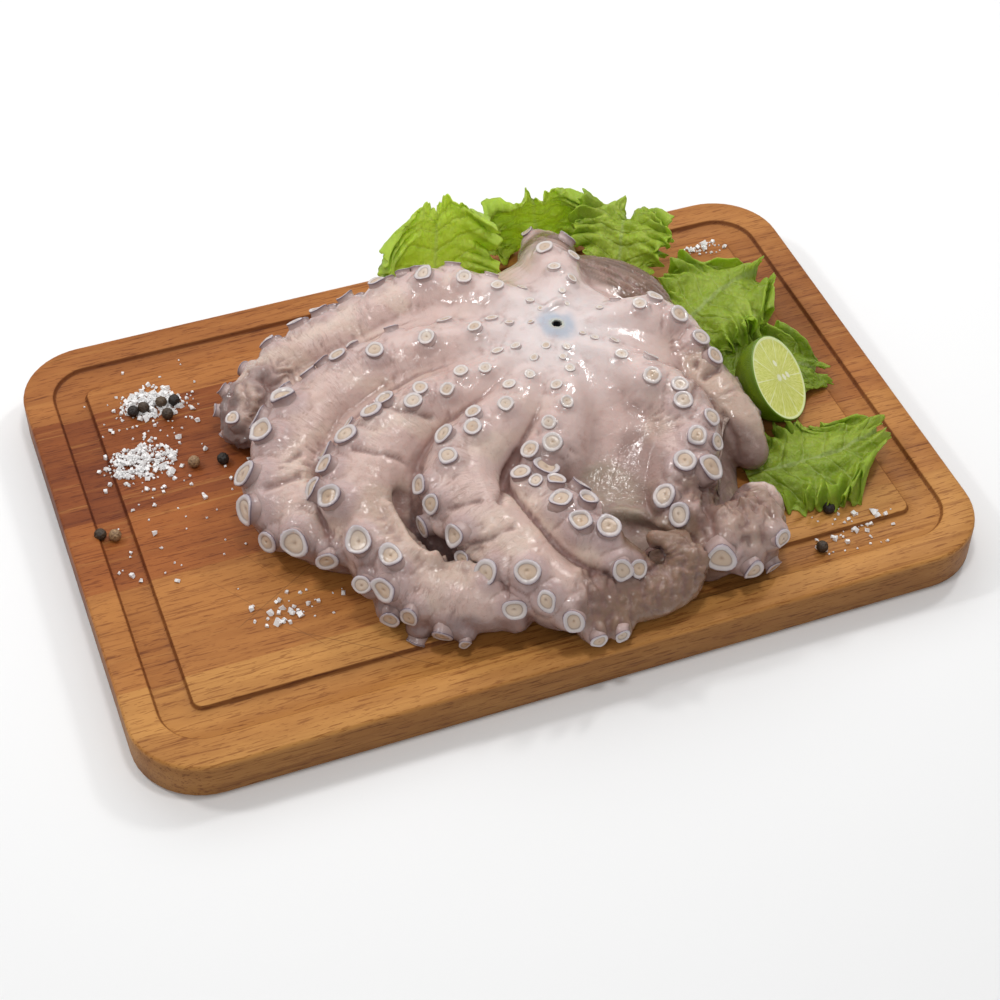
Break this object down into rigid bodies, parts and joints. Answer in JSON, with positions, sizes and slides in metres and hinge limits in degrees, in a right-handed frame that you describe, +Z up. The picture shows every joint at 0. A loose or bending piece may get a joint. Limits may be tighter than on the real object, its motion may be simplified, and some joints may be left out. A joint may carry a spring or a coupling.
{
  "type": "whole raw octopus on a carving board",
  "caption": "Whole raw octopus spread mouth and suckers up on a wooden carving board with a juice groove, garnished with lettuce, half a lime, peppercorns and salt flakes.",
  "frame": {"origin": "middle of the board's underside, on the surface that the board stands on", "axes": "+X along the board's long side, towards the garnished end; +Y to the long edge behind the octopus; +Z up"},
  "size_m": [0.45, 0.305, 0.0869],
  "materials": {
    "board": "oiled orange-brown hardwood in glued strips",
    "octopus": "wet pinkish-grey raw flesh with cream suckers",
    "lime_half": "green rind and pale green juicy cut face",
    "leaf_back_left": "fresh curly lettuce leaf",
    "leaf_back": "fresh curly lettuce leaf",
    "leaf_back_right": "fresh curly lettuce leaf",
    "leaf_right_back": "fresh curly lettuce leaf",
    "leaf_right": "fresh curly lettuce leaf",
    "leaf_front_right": "fresh curly lettuce leaf"
  },
  "bodies": {
    "root": {"board": "board", "octopus": "octopus", "lime_half": "lime_half", "leaf_back_left": "leaf_back_left", "leaf_back": "leaf_back", "leaf_back_right": "leaf_back_right", "leaf_right_back": "leaf_right_back", "leaf_right": "leaf_right", "leaf_front_right": "leaf_front_right"}
  },
  "joints": []
}
